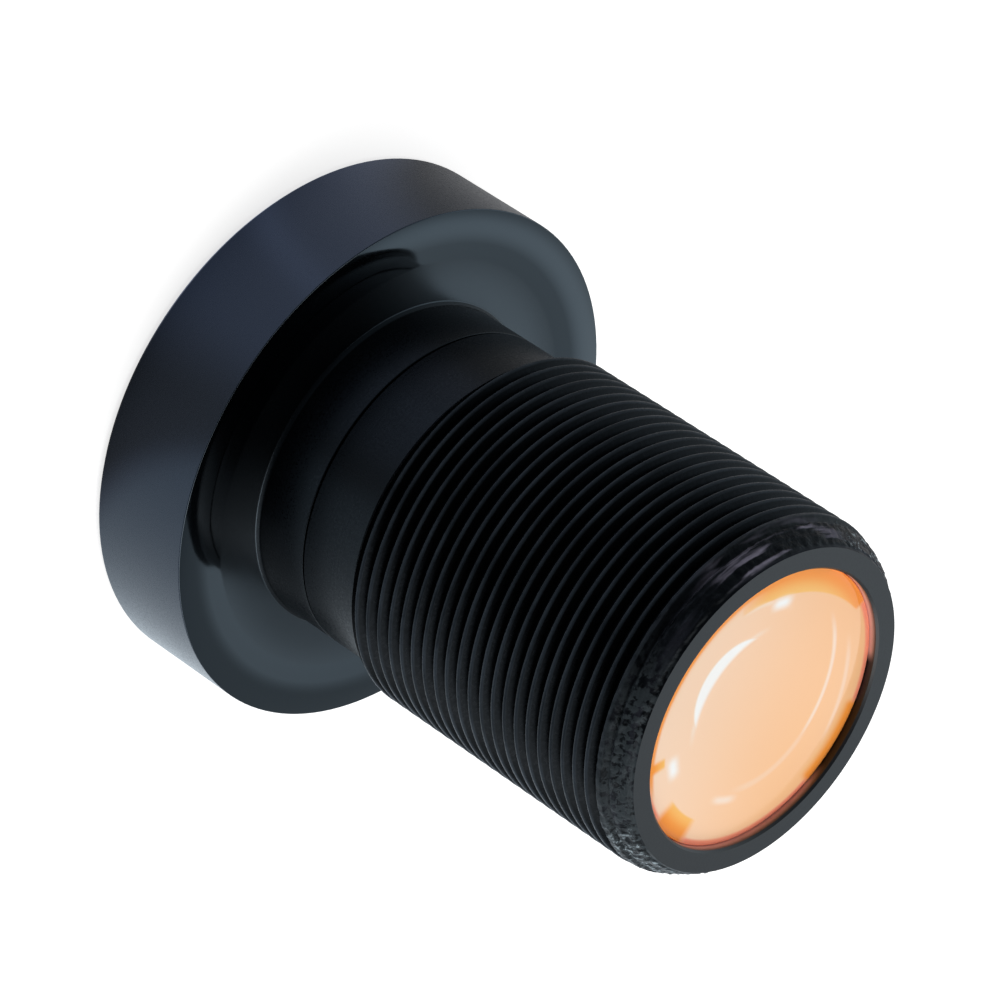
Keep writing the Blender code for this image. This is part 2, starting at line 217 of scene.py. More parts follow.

# Painted highlights on the filter: two spots, then five faint arcs, and the faint tails of the bright
# crescent
PAINTED_GLINT_ARCS = (
    Arc((0, 0), 3.56 * MM, 0.34 * MM, 209, 220, 4, 1.0),
    Arc((0, 0), 3.54 * MM, 0.34 * MM, 319, 330, 4, 1.0),
    Arc((0.07 * MM, -1.13 * MM), 3.95 * MM, 0.14 * MM, 92, 148, 10, 0.45),
    Arc((0, 0), 3.14 * MM, 0.22 * MM, 14, 30, 5, 0.45),
    Arc((0.77 * MM, -0.82 * MM), 4.89 * MM, 0.16 * MM, 104, 140, 8, 0.25),
    Arc((-1.09 * MM, -1.65 * MM), 1.87 * MM, 0.14 * MM, 180, 235, 12, 0.25),
    Arc((0, 0), 2.84 * MM, 0.20 * MM, 32, 92, 10, 0.18),
)
PAINTED_CRESCENT_TAILS = Arc((0, 0), 2.78 * MM, 0.16 * MM, 226, 312, 9, 0.3)

# Colours as light values
HEAD_BLACK = (0.004, 0.004, 0.006)
NECK_BLACK = (0.0012, 0.0015, 0.0025)
RING_BLACK = (0.002, 0.002, 0.002)
FACE_BLACKS = ((0.0001, 0.0002, 0.0003), (0.0003, 0.0004, 0.0006))
ROOT_BLACK = (0.0002, 0.0003, 0.0005)
CREST_WEAR_AND_SHEEN_GREY = (0.030, 0.039, 0.050)
CORNER_BLACK = (0.0008, 0.0010, 0.0018)
SMEAR_GREY = (0.014, 0.015, 0.021)
PITTED_GREY = (0.032, 0.040, 0.045)
SCUFF_LILAC = (0.23, 0.22, 0.29)
FLAKE_GREY = (0.33, 0.40, 0.44)
BORE_BLACK = (0.003, 0.004, 0.006)
PAINTED_BORE_GLOW = (1.0, 0.60, 0.50)
FILM_BLACK = (0.004, 0.004, 0.004)
BRASS_BLACK = (0.006, 0.006, 0.007)
RUBBER_BLACK = (0.006, 0.006, 0.006)
GLASS_TINT = (0.93, 0.97, 0.96)
FLOOR_GREY = (0.6, 0.6, 0.6)
PEACH = (1.0, 0.57, 0.29)
PALE_PEACH = (1.0, 0.74, 0.55)
AMBER = (1.0, 0.56, 0.15)
DEEP_AMBER = (1.0, 0.33, 0.04)
RIM_RED = (1.0, 0.31, 0.19)
PAINTED_GLINT_WHITE = (1.0, 1.0, 0.98)

# Tints of what the surfaces reflect, and of what the floor and the surroundings show in gloss
HEAD_TINT = (0.55, 0.72, 1.0)
FACE_TINT = (0.68, 0.85, 1.0)
NECK_TINT = (0.66, 0.84, 1.0)
THREAD_TINT = (0.7, 0.85, 1.0)
CORNER_TINT = (0.8, 0.92, 1.0)
RING_TINT = (0.94, 0.96, 1.0)
WORLD_TINT = (0.80, 0.92, 1.0)
FLOOR_TINT = (0.62, 0.72, 1.0)
BRIGHT_FLOOR_TINT = (0.71, 0.87, 1.0)

# Studio: where the lamps aim, the floor, and where across +X its bright side starts and is full
LIGHT_AIM = Vector((0, 0, 10)) * MM
FLOOR_SIZE = 3.0
FLOOR_DROP = 0.01 * MM
BRIGHT_FLOOR = (4.8 * MM, 7.2 * MM)


def deselect():
    bpy.ops.object.select_all(action="DESELECT")


def add_point(name, radius, height):
    """A mesh of one point, left in edit mode, where an outline starts."""
    deselect()
    bpy.ops.mesh.primitive_plane_add(size=MM)
    piece = bpy.context.object
    piece.name = name
    piece.data.name = name
    bpy.ops.object.mode_set(mode="EDIT")
    bpy.ops.mesh.select_mode(type="VERT")
    bpy.ops.mesh.select_all(action="SELECT")
    bpy.ops.mesh.merge(type="CENTER")
    bpy.ops.transform.translate(value=(radius, 0, height))
    return piece


def draw(name, outline):
    """Draw an outline of (radius, height) points in the XZ plane by extruding from point to point."""
    piece = add_point(name, *outline[0])
    for (radius, height), (next_radius, next_height) in zip(outline, outline[1:]):
        step = (next_radius - radius, 0, next_height - height)
        bpy.ops.mesh.extrude_vertices_move(TRANSFORM_OT_translate={"value": step})
    return piece


def close_up():
    """Merge what lies together and turn all faces outwards."""
    bpy.ops.mesh.select_all(action="SELECT")
    bpy.ops.mesh.remove_doubles(threshold=MERGE_DISTANCE)
    bpy.ops.mesh.normals_make_consistent(inside=False)


def break_edges(size, steps):
    """Round all the sharp edges of the mesh that is being edited."""
    bpy.ops.mesh.select_all(action="DESELECT")
    bpy.ops.mesh.select_mode(type="EDGE")
    bpy.ops.mesh.edges_select_sharp(sharpness=SMOOTH_ANGLE)
    bpy.ops.mesh.bevel(offset=size, segments=steps, affect="EDGES")


def even_shading():
    """Smooth over small angles, with flat faces that stay flat beside rounded edges."""
    bpy.ops.object.mode_set(mode="OBJECT")
    bpy.ops.object.shade_smooth_by_angle(angle=SMOOTH_ANGLE)
    bpy.ops.object.modifier_add(type="WEIGHTED_NORMAL")
    modifier = bpy.context.object.modifiers[-1]
    modifier.keep_sharp = True
    bpy.ops.object.modifier_apply(modifier=modifier.name)


def turned(name, outline, edge=EDGE_BREAK, closed=True, sides=SIDES):
    """Spin an outline about Z, as on a lathe, and round its edges. An open one ends on the axis."""
    if closed:
        outline = [*outline, outline[0]]
    piece = draw(name, outline)
    bpy.ops.mesh.select_all(action="SELECT")
    bpy.ops.mesh.spin(steps=sides, angle=2 * math.pi, center=(0, 0, 0), axis=(0, 0, 1))
    close_up()
    if edge:
        break_edges(edge, EDGE_STEPS)
    even_shading()
    return piece


def combine(piece, tool, operation):
    """Cut a piece with a tool, or keep what both share, and delete the tool."""
    deselect()
    piece.select_set(True)
    bpy.context.view_layer.objects.active = piece
    bpy.ops.object.modifier_add(type="BOOLEAN")
    modifier = piece.modifiers[-1]
    modifier.operation = operation
    modifier.solver = "EXACT"
    modifier.object = tool
    bpy.ops.object.modifier_apply(modifier=modifier.name)
    bpy.data.objects.remove(tool)


def settle(piece, material, slot, *nodes):
    """Give a piece its material, if it has none yet, and let it stand for its CAD nodes."""
    if not piece.data.materials:
        piece.data.materials.append(material)
    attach(piece, "root")
    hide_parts(*nodes)


def sag(curve, radius):
    """Height of a curved glass face at a radius, measured from its middle."""
    return curve - math.copysign(math.sqrt(curve ** 2 - radius ** 2), curve)


def lens(name, radius, clear, front_curve, rear_curve):
    """A glass element in the place of its CAD node: two curved faces, a flange and a ground edge."""
    low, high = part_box(name)
    front = low.z - min(0.0, sag(front_curve, clear))
    rear = high.z - max(0.0, sag(rear_curve, clear))
    steps = [clear * i / GLASS_STEPS for i in range(GLASS_STEPS + 1)]
    outline = [(r, front + sag(front_curve, r)) for r in steps]
    outline.append((radius, outline[-1][1]))
    back = [(r, rear + sag(rear_curve, r)) for r in reversed(steps)]
    outline.append((radius, back[0][1]))
    return turned(name + "_fine", outline + back, closed=False)


def washer(name, radius, front_bore, rear_bore):
    """A ring in the place of its CAD node, whose bore may be a cone."""
    low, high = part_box(name)
    outline = [(radius, low.z), (radius, high.z), (rear_bore, high.z), (front_bore, low.z)]
    return turned(name + "_fine", outline, edge=0)


def coat_faces(piece, material, wanted):
    """Give a material to the faces whose middle and normal the test wants."""
    piece.data.materials.append(material)
    number = len(piece.data.materials) - 1
    for face in piece.data.polygons:
        radius = math.hypot(face.center.x, face.center.y)
        if wanted(radius, face.center.z, face.normal):
            face.material_index = number


def head(side, face, neck):
    outline = [
        (HEAD_RADIUS - RIM_CHAMFER, 0),
        (HEAD_RADIUS, RIM_CHAMFER),
        (HEAD_RADIUS, HEAD_LENGTH),
        (DISH_RADIUS + DISH_SLOPE, HEAD_LENGTH),
        (DISH_RADIUS, HEAD_LENGTH - DISH_DEPTH),
        (NECK_RADIUS + ROOT_RING_WIDTH, HEAD_LENGTH - DISH_DEPTH),
        (NECK_RADIUS, HEAD_LENGTH - DISH_DEPTH + ROOT_RING_WIDTH),
        (NECK_RADIUS, COLLAR_END - SEAM_WIDTH / 2),
        (SPIGOT_RADIUS, COLLAR_END - SEAM_WIDTH / 2),
        (SPIGOT_RADIUS, SPIGOT_END),
        (LIGHT_RADIUS, SPIGOT_END),
        (LIGHT_RADIUS, SECOND_SEAT),
        (SECOND_BORE_RADIUS, SECOND_SEAT),
        (SECOND_BORE_RADIUS, FLOOR_FRONT),
        (FIRST_BORE_RADIUS, FLOOR_FRONT),
        (FIRST_BORE_RADIUS, RING_SEAT),
        (RING_BORE_RADIUS, RING_SEAT),
        (RING_BORE_RADIUS, RIM_CHAMFER),
        (RING_BORE_RADIUS + RIM_CHAMFER, 0),
    ]
    piece = turned("head", outline)
    piece.data.materials.append(side)
    behind = HEAD_LENGTH - 2 * DISH_DEPTH
    coat_faces(piece, neck, lambda r, z, normal: r < DISH_RADIUS and z > behind)
    coat_faces(piece, face, lambda r, z, normal: r > NECK_RADIUS + ROOT_RING_WIDTH and z > behind
               and normal.z > FACE_NORMAL)
    return piece


def arc_points(centre_radius, centre_height, size, start, end, steps):
    """Points of an arc between two angles, measured from straight outwards towards the rear."""
    angles = [start + (end - start) * i / steps for i in range(steps + 1)]
    return [(centre_radius + size * math.cos(a), centre_height + size * math.sin(a)) for a in angles]


def thread_profile():
    """One pitch of the thread, from root to root, with a rounded crest and root."""
    turn = math.pi / 2 - THREAD_FLANK
    crest_run = CREST_ROUND * math.sin(turn)
    root_run = ROOT_ROUND * math.sin(turn)
    flank_run = THREAD_PITCH / 2 - crest_run - root_run
    crest_edge = THREAD_RADIUS - CREST_ROUND + CREST_ROUND * math.cos(turn)
    root_edge = crest_edge - flank_run / math.tan(THREAD_FLANK)
    root_centre = root_edge + ROOT_ROUND * math.cos(turn)
    half = THREAD_PITCH / 2
    rising = arc_points(root_centre, -half, ROOT_ROUND, math.pi, math.pi - turn, ROOT_STEPS)
    crest = arc_points(THREAD_RADIUS - CREST_ROUND, 0, CREST_ROUND, -turn, turn, CREST_STEPS)
    falling = arc_points(root_centre, half, ROOT_ROUND, math.pi + turn, math.pi, ROOT_STEPS)
    return rising + crest + falling


def threaded_rod():
    """A solid rod with the thread along all of it, longer than the barrel's thread at both ends."""
    start = COLLAR_END - THREAD_PITCH
    turns = math.ceil((REAR_FACE - COLLAR_END) / THREAD_PITCH) + 3
    rod = draw("rod", [(radius, start + height) for radius, height in thread_profile()])
    bpy.ops.object.mode_set(mode="OBJECT")
    bpy.ops.object.modifier_add(type="SCREW")
    screw = rod.modifiers[-1]
    screw.screw_offset = THREAD_PITCH
    screw.iterations = turns
    screw.steps = SIDES
    screw.render_steps = SIDES
    bpy.ops.object.modifier_apply(modifier=screw.name)
    bpy.ops.object.mode_set(mode="EDIT")
    close_up()
    for height, outwards in ((COLLAR_END - THREAD_PITCH / 4, -1), (REAR_FACE + THREAD_PITCH / 4, 1)):
        bpy.ops.mesh.select_all(action="SELECT")
        bpy.ops.mesh.bisect(plane_co=(0, 0, height), plane_no=(0, 0, outwards), use_fill=True,
                            clear_outer=True)
    bpy.ops.mesh.select_all(action="SELECT")
    bpy.ops.mesh.normals_make_consistent(inside=False)
    bpy.ops.object.mode_set(mode="OBJECT")
    return rod


def worn_corner_outline():
    """The barrel's rear corner, rounded by wear, from the blank's side to the rear face."""
    outline = []
    for i in range(WORN_STEPS + 1):
        depth = WORN_LENGTH * (1 - i / WORN_STEPS)
        worn = REAR_CHAMFER * (1 - depth / WORN_LENGTH) ** WORN_CURVE
        outline.append((THREAD_RADIUS - worn, REAR_FACE - depth))
    return outline


def roughen_corner(piece):
    """Knock lumps and pits into the worn corner, and leave the flat ring beside it even."""
    group = piece.vertex_groups.new(name="worn")
    for vertex in piece.data.vertices:
        radius = math.hypot(vertex.co.x, vertex.co.y)
        depth = REAR_FACE - vertex.co.z
        if depth < WORN_LENGTH and radius > FLAT_RING_RADIUS + EVEN_EDGE:
            from_ring = (radius - FLAT_RING_RADIUS) / FADE_TO_RING
            from_thread = (WORN_LENGTH - depth) / FADE_TO_THREAD
            group.add([vertex.index], min(1.0, from_ring, from_thread), "REPLACE")
    lumps = bpy.data.textures.new("lumps", "CLOUDS")
    lumps.noise_scale = LUMP_SIZE
    lumps.noise_depth = 2
    deselect()
    piece.select_set(True)
    bpy.context.view_layer.objects.active = piece
    bpy.ops.object.modifier_add(type="DISPLACE")
    modifier = piece.modifiers[-1]
    modifier.texture = lumps
    modifier.texture_coords = "LOCAL"
    modifier.strength = WORN_LUMPS
    modifier.vertex_group = group.name
    bpy.ops.object.modifier_apply(modifier=modifier.name)


def barrel(thread, neck, corner, rear_ring, bore):
    blank = THREAD_RADIUS + BLANK_OVERSIZE
    outline = [
        (NECK_RADIUS, COLLAR_END + SEAM_WIDTH / 2),
        (NECK_RADIUS, THREAD_FOOT),
        (blank, THREAD_FOOT + blank - NECK_RADIUS),
        (blank, REAR_FACE - WORN_LENGTH),
        *worn_corner_outline(),
        (BARREL_BORE + BORE_CHAMFER, REAR_FACE),
        (BARREL_BORE, REAR_FACE - BORE_CHAMFER),
        (BARREL_BORE, LIP_REAR),
        (LIGHT_RADIUS, LIP_REAR),
        (LIGHT_RADIUS, LIP_FRONT),
        (COUNTERBORE, LIP_FRONT),
        (COUNTERBORE, COLLAR_END + SEAM_WIDTH / 2),
    ]
    piece = turned("barrel", outline, edge=0, sides=BLANK_SIDES)
    combine(piece, threaded_rod(), "INTERSECT")
    roughen_corner(piece)
    even_shading()
    piece.data.materials.clear()
    piece.data.materials.append(thread)
    coat_faces(piece, neck, lambda r, z, normal: z < NECK_COAT_END and r > COUNTERBORE)
    coat_faces(piece, corner, lambda r, z, normal: z > REAR_FACE - WORN_LENGTH and r > BARREL_BORE)
    coat_faces(piece, rear_ring, lambda r, z, normal: z > LIP_REAR and r < FLAT_RING_RADIUS
               and normal.z > RING_NORMAL)
    coat_faces(piece, bore, lambda r, z, normal: z > LIP_REAR and r < BARREL_BORE + BORE_CHAMFER / 2)
    return piece


def slot_bar():
    """A bar across the head that cuts both spanner slots at once."""
    deselect()
    bpy.ops.mesh.primitive_cube_add(size=1, location=(0, 0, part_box("front_retaining_ring")[0].z),
                                    scale=(2 * HEAD_RADIUS, SLOT_WIDTH, 2 * SLOT_DEPTH))
    return bpy.context.object


def retaining_ring():
    ring = washer("front_retaining_ring", RING_RADIUS, RING_MOUTH_RADIUS, RING_HOLE_RADIUS)
    combine(ring, slot_bar(), "DIFFERENCE")
    bpy.ops.object.mode_set(mode="EDIT")
    break_edges(RING_EDGE_BREAK, RING_EDGE_STEPS)
    even_shading()
    return ring


def seal_ring():
    low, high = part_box("front_seal_ring")
    half = (high.z - low.z) / 2
    middle = high.x - half
    points = arc_points(middle, low.z + half, half, 0, 2 * math.pi, SEAL_STEPS)
    return turned("seal", points[:-1], edge=0)


def filter_plate():
    low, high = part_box("infrared_filter")
    outline = [(0, low.z), (high.x, low.z), (high.x, high.z), (0, high.z)]
    return turned("filter_plate", outline, edge=FILTER_EDGE_BREAK, closed=False)


Place = namedtuple("Place", "point x y height radius")


class Recipe:
    """Builds the node tree of one material, or of the world, around its shader."""

    def __init__(self, name="", world=None):
        """Start a new material with the name, or the world's background."""
        self.material = world or bpy.data.materials.new(name)
        self.material.use_nodes = True
        self.nodes = self.material.node_tree.nodes
        self.links = self.material.node_tree.links
        self.shader = self.nodes["Background" if world else "Principled BSDF"]

    def add(self, kind, **settings):
        made = self.nodes.new(kind)
        for name, value in settings.items():
            setattr(made, name, value)
        return made

    def feed(self, socket, source):
        """Give a socket a plain value or link another node's output to it."""
        if isinstance(source, bpy.types.NodeSocket):
            self.links.new(source, socket)
        else:
            socket.default_value = source

    def math(self, operation, first, second=0.0, third=0.0):
        made = self.add("ShaderNodeMath", operation=operation)
        for socket, source in zip(made.inputs, (first, second, third)):
            self.feed(socket, source)
        return made.outputs[0]

    def product(self, *values):
        total = values[0]
        for value in values[1:]:
            total = self.math("MULTIPLY", total, value)
        return total

    def largest(self, *values):
        total = values[0]
        for value in values[1:]:
            total = self.math("MAXIMUM", total, value)
        return total

    def place(self):
        """Where a point of the surface lies, in the object's own coordinates."""
        point = self.add("ShaderNodeTexCoord").outputs["Object"]
        parts = self.add("ShaderNodeSeparateXYZ")
        self.feed(parts.inputs[0], point)
        x, y, height = parts.outputs
        return Place(point, x, y, height, self.reach(x, y, (0, 0)))

    def reach(self, x, y, centre):
        """Distance across the axis from a centre."""
        across = self.math("POWER", self.math("SUBTRACT", x, centre[0]), 2.0)
        along = self.math("POWER", self.math("SUBTRACT", y, centre[1]), 2.0)
        return self.math("SQRT", self.math("ADD", across, along))

    def lathe_coordinates(self, place):
        """Coordinates that are the same all round, so that a pattern on them runs in circles."""
        made = self.add("ShaderNodeCombineXYZ")
        self.feed(made.inputs[0], place.radius)
        self.feed(made.inputs[2], place.height)
        return made.outputs[0]

    def long_grain(self, place, length, width):
        """Coordinates for a noise of size 1 whose spots are drawn out round the axis."""
        made = self.add("ShaderNodeCombineXYZ")
        self.feed(made.inputs[0], self.math("DIVIDE", place.x, length))
        self.feed(made.inputs[1], self.math("DIVIDE", place.y, length))
        self.feed(made.inputs[2], self.math("DIVIDE", place.height, width))
        return made.outputs[0]

    def between(self, value, start, end, soft):
        """1 between two values and 0 outside them."""
        rise = self.ramp(value, start - soft, start + soft)
        fall = self.ramp(value, end - soft, end + soft, 1.0, 0.0)
        return self.math("MULTIPLY", rise, fall)

    def sector(self, place, start, end, fade, centre=(0, 0)):
        """1 between two directions, given in degrees counter-clockwise from +X."""
        middle = math.radians((start + end) / 2)
        x = self.math("SUBTRACT", place.x, centre[0])
        y = self.math("SUBTRACT", place.y, centre[1])
        along = self.math("ADD", self.math("MULTIPLY", x, math.cos(middle)),
                          self.math("MULTIPLY", y, math.sin(middle)))
        across = self.math("SUBTRACT", self.math("MULTIPLY", y, math.cos(middle)),
                           self.math("MULTIPLY", x, math.sin(middle)))
        turn = self.math("ARCTAN2", across, along)
        half = math.radians(end - start) / 2
        return self.between(turn, -half, half, math.radians(fade))

    def arc_band(self, place, arc):
        """The arc's strength along it, fading to both sides and at both ends."""
        half = arc.width / 2
        reach = self.reach(place.x, place.y, arc.centre)
        across = self.between(reach, arc.radius - half, arc.radius + half, half)
        along = self.sector(place, arc.start, arc.end, arc.fade, arc.centre)
        return self.product(across, along, arc.strength)

    def sectors(self, place, *stretches):
        """1 in any of several sectors."""
        return self.largest(*[self.sector(place, *stretch) for stretch in stretches])

    def beyond(self, place, edge, centre=(0, 0)):
        """0 inside a round edge and 1 outside it, over the edge's two radii."""
        return self.ramp(self.reach(place.x, place.y, centre), *edge)

    def noise(self, vector, size, detail=2.0, roughness=0.5):
        """Noise between 0 and 1 whose spots are about as large as the size."""
        made = self.add("ShaderNodeTexNoise")
        self.feed(made.inputs["Vector"], vector)
        self.feed(made.inputs["Scale"], 1 / size)
        self.feed(made.inputs["Detail"], detail)
        self.feed(made.inputs["Roughness"], roughness)
        return made.outputs[0]

    def ramp(self, value, start, end, low=0.0, high=1.0):
        """Turn a range of values smoothly into another one, and hold it beyond both ends."""
        made = self.add("ShaderNodeMapRange", interpolation_type="SMOOTHSTEP")
        for socket, source in zip(made.inputs, (value, start, end, low, high)):
            self.feed(socket, source)
        return made.outputs[0]

    def mix(self, share, first, second):
        """Mix two colours."""
        made = self.add("ShaderNodeMix", data_type="RGBA")
        self.feed(made.inputs["Factor"], share)
        self.feed(made.inputs[6], as_colour(first))
        self.feed(made.inputs[7], as_colour(second))
        return made.outputs[2]

    def bump(self, height, strength, distance):
        made = self.add("ShaderNodeBump")
        self.feed(made.inputs["Strength"], strength)
        self.feed(made.inputs["Distance"], distance)
        self.feed(made.inputs["Height"], height)
        self.feed(self.shader.inputs["Normal"], made.outputs[0])

    def set(self, **values):
        for name, value in values.items():
            self.feed(self.shader.inputs[name.replace("_", " ")], value)


def as_colour(value):
    if isinstance(value, tuple) and len(value) == 3:
        return (*value, 1.0)
    return value


def anodised(name, black, tint, specular, smooth, rough, marks):
    """Black anodising over fine turning marks that run round the piece.

    The tint colours what the surface reflects. Its roughness lies between the two given values."""
    recipe = Recipe(name)
    place = recipe.place()
    fine = recipe.noise(recipe.lathe_coordinates(place), TURNING_MARKS)
    grain = recipe.noise(place.point, GRAIN)
    patches = recipe.noise(place.point, PATCHES)
    recipe.set(Base_Color=recipe.mix(patches, tuple(0.3 * part for part in black), black))
    texture = recipe.math("MULTIPLY_ADD", fine, 0.4, recipe.math("MULTIPLY", grain, 0.6))
    recipe.set(Roughness=recipe.ramp(texture, 0.35, 0.65, smooth, rough))
    recipe.set(Specular_IOR_Level=specular, Specular_Tint=(*tint, 1.0))
    recipe.bump(texture, marks, FINE_RELIEF)
    return recipe.material


def face_finish():
    """The head's rear face: a glossy ring, and the dish round the neck with a satin finish."""
    recipe = Recipe("head_face_black")
    place = recipe.place()
    grain = recipe.noise(place.point, GRAIN)
    clouds = recipe.noise(place.point, CLOUDS)
    dish = recipe.ramp(place.radius, *SATIN_EDGE, 1.0, 0.0)
    recipe.set(Base_Color=recipe.mix(clouds, *FACE_BLACKS))
    gloss = recipe.math("MULTIPLY_ADD", clouds, 0.05, 0.05)
    recipe.set(Roughness=recipe.math("MULTIPLY_ADD", dish, 0.17, gloss))
    recipe.set(Specular_IOR_Level=0.85, Specular_Tint=(*FACE_TINT, 1.0))
    recipe.bump(grain, 0.06, FINE_RELIEF)
    return recipe.material


def thread_colour(recipe, place):
    """Black in the roots of the thread and dark grey on its crests, more so along some stretches. The grey
    is partly worn anodising and partly a painted highlight.
    """
    # Grey crests: partly worn anodising, partly a painted highlight
    crest = recipe.ramp(place.radius, *CREST_EDGE)
    stretches = recipe.noise(place.point, THREAD_STRETCHES, detail=3.0)
    wear_and_sheen = recipe.product(crest, recipe.ramp(stretches, 0.3, 0.7, 0.45, 1.0))
    return recipe.mix(wear_and_sheen, ROOT_BLACK, CREST_WEAR_AND_SHEEN_GREY)


def thread_finish():
    """Black anodising on the thread, with crests that have lost a little of it and carry a painted
    highlight.
    """
    recipe = Recipe("thread_black")
    place = recipe.place()
    grain = recipe.noise(place.point, THREAD_GRAIN, detail=3.0)
    recipe.set(Base_Color=thread_colour(recipe, place))
    recipe.set(Roughness=recipe.ramp(grain, 0.3, 0.7, 0.25, 0.38))
    recipe.set(Specular_IOR_Level=0.09, Specular_Tint=(*THREAD_TINT, 1.0))
    recipe.bump(grain, 0.12, THREAD_RELIEF)
    return recipe.material


def worn_corner():
    """The barrel's rear corner, rough and scuffed where the lens has been screwed in and out.

    Long lilac scuffs lie on one side, dark pits on the other, and bright flakes at both ends."""
    recipe = Recipe("worn_corner_black")
    place = recipe.place()
    streaks = recipe.noise(recipe.long_grain(place, STREAK_LENGTH, STREAK_WIDTH), 1.0)
    pits = recipe.noise(place.point, PITS, detail=3.0, roughness=0.6)
    flakes = recipe.noise(place.point, FLAKES, detail=4.0, roughness=0.65)
    off_ring = recipe.ramp(place.radius, FLAT_RING_RADIUS + EVEN_EDGE, FLAT_RING_RADIUS + FADE_TO_RING)
    off_thread = recipe.ramp(place.height, REAR_FACE - WORN_LENGTH, REAR_FACE - FULL_WEAR_DEPTH)

    smears = recipe.ramp(streaks, 0.42, 0.68)
    colour = recipe.mix(smears, CORNER_BLACK, SMEAR_GREY)
    unpitted = recipe.ramp(pits, 0.42, 0.53, 0.02, 1.0)
    colour = recipe.mix(recipe.product(unpitted, recipe.sector(place, *PITTED_SIDE)), colour, PITTED_GREY)
    scuffs = recipe.product(recipe.ramp(streaks, 0.52, 0.66), off_ring, recipe.sector(place, *SCUFFED_SIDE))
    colour = recipe.mix(scuffs, colour, SCUFF_LILAC)
    bright = recipe.product(recipe.ramp(flakes, 0.54, 0.62), off_ring, recipe.sectors(place, *FLAKED_ENDS))
    colour = recipe.mix(bright, colour, FLAKE_GREY)
    recipe.set(Base_Color=recipe.mix(off_thread, thread_colour(recipe, place), colour))
    recipe.set(Roughness=recipe.ramp(flakes, 0.3, 0.7, 0.28, 0.5))
    recipe.set(Specular_IOR_Level=0.12, Specular_Tint=(*CORNER_TINT, 1.0))
    relief = recipe.math("MULTIPLY_ADD", streaks, 0.6, recipe.math("MULTIPLY", pits, 0.4))
    recipe.bump(recipe.product(relief, off_ring, off_thread), 0.8, WORN_RELIEF)
    return recipe.material


def bore_finish_with_painted_glow():
    """The short wall round the filter: dark, with a painted reflection of the filter's glow along its foot
    on two sides.
    """
    recipe = Recipe("bore_black_with_painted_glow")
    place = recipe.place()
    near_foot = recipe.ramp(place.height, FILTER_FACE, FILTER_FACE + PAINTED_GLOW_HEIGHT, 1.0, 0.0)
    # Painted reflection: the filter's glow along the foot of the wall is pale colour
    glow = recipe.product(recipe.sectors(place, *PAINTED_GLOW_WALLS), near_foot)
    recipe.set(Base_Color=recipe.mix(glow, BORE_BLACK, PAINTED_BORE_GLOW), Roughness=0.35)
    return recipe.material


def amber_windows_and_painted_shade(recipe, place):
    """Where the coating turns amber, partly its own tint and partly painted shade where its reflection of
    the white surroundings is blocked: one long stretch of the outer ring and a few short ones.
    """
    long_stretch = recipe.product(
        recipe.sector(place, *LONG_AMBER),
        recipe.beyond(place, LONG_AMBER_EDGE, LONG_AMBER_CENTRE),
        recipe.sector(place, *LONG_AMBER_FADE),
    )
    short = recipe.product(recipe.sectors(place, *SHORT_AMBER), recipe.beyond(place, SHORT_AMBER_EDGE))
    far = recipe.product(recipe.sector(place, *FAR_AMBER), recipe.beyond(place, FAR_AMBER_EDGE))
    near = recipe.product(recipe.sector(place, *NEAR_AMBER), recipe.beyond(place, NEAR_AMBER_EDGE), 0.5)
    return recipe.largest(long_stretch, short, far, near)


def painted_glints(recipe, place):
    """Painted highlights: pale crescents and spots laid into the filter's colour where the elements behind
    the filter catch the light.
    """
    behind = recipe.beyond(place, PAINTED_CRESCENT_BACK_EDGE, PAINTED_CRESCENT_BACK_CENTRE)
    painted_crescent = recipe.product(recipe.math("SUBTRACT", 1.0, behind), recipe.beyond(place, PAINTED_CRESCENT_EDGE))
    painted_tails = recipe.product(recipe.arc_band(place, PAINTED_CRESCENT_TAILS), recipe.math("SUBTRACT", 1.0, painted_crescent))
    return recipe.largest(painted_crescent, painted_tails, *[recipe.arc_band(place, arc) for arc in PAINTED_GLINT_ARCS])


def filter_coating_and_painted_light():
    """The filter's coating: peach, with amber windows that are partly painted shade, painted pale glints, a
    painted orange glow along its edge and a reddish rim.
    """
    recipe = Recipe("filter_coating_and_painted_light")
    place = recipe.place()
    slope = recipe.math("SUBTRACT", recipe.math("MULTIPLY", place.x, 0.5), place.y)
    colour = recipe.mix(recipe.ramp(slope, *PALE_SPAN), PEACH, PALE_PEACH)
    depth = recipe.ramp(place.radius, AMBER_RADIUS, RIM_RADIUS)
    amber = recipe.mix(depth, AMBER, DEEP_AMBER)
    # Partly painted shade: the amber stretches stand for a blocked reflection as well as the coating's tint
    amber_and_painted_shade = amber_windows_and_painted_shade(recipe, place)
    colour = recipe.mix(amber_and_painted_shade, colour, amber)
    # Painted highlights: the glints and crescents are pale colour laid into the filter
    colour = recipe.mix(painted_glints(recipe, place), colour, PAINTED_GLINT_WHITE)
    rim = recipe.product(recipe.ramp(place.radius, *RIM_EDGE),
                         recipe.math("MULTIPLY_ADD", amber_and_painted_shade, -0.9, 1.0))
    # Painted reflection: an orange glow along part of the filter's edge, on a circle set off towards +Y
    painted_edge_glow = recipe.product(recipe.beyond(place, PAINTED_EDGE_GLOW_EDGE, PAINTED_EDGE_GLOW_CENTRE), 0.9,
                                 recipe.sector(place, *PAINTED_EDGE_GLOW))
    colour = recipe.mix(painted_edge_glow, colour, DEEP_AMBER)
    rim = recipe.product(rim, recipe.math("SUBTRACT", 1.0, painted_edge_glow))
    recipe.set(Base_Color=recipe.mix(rim, colour, RIM_RED))
    recipe.set(Roughness=0.03, IOR=1.45)
    return recipe.material


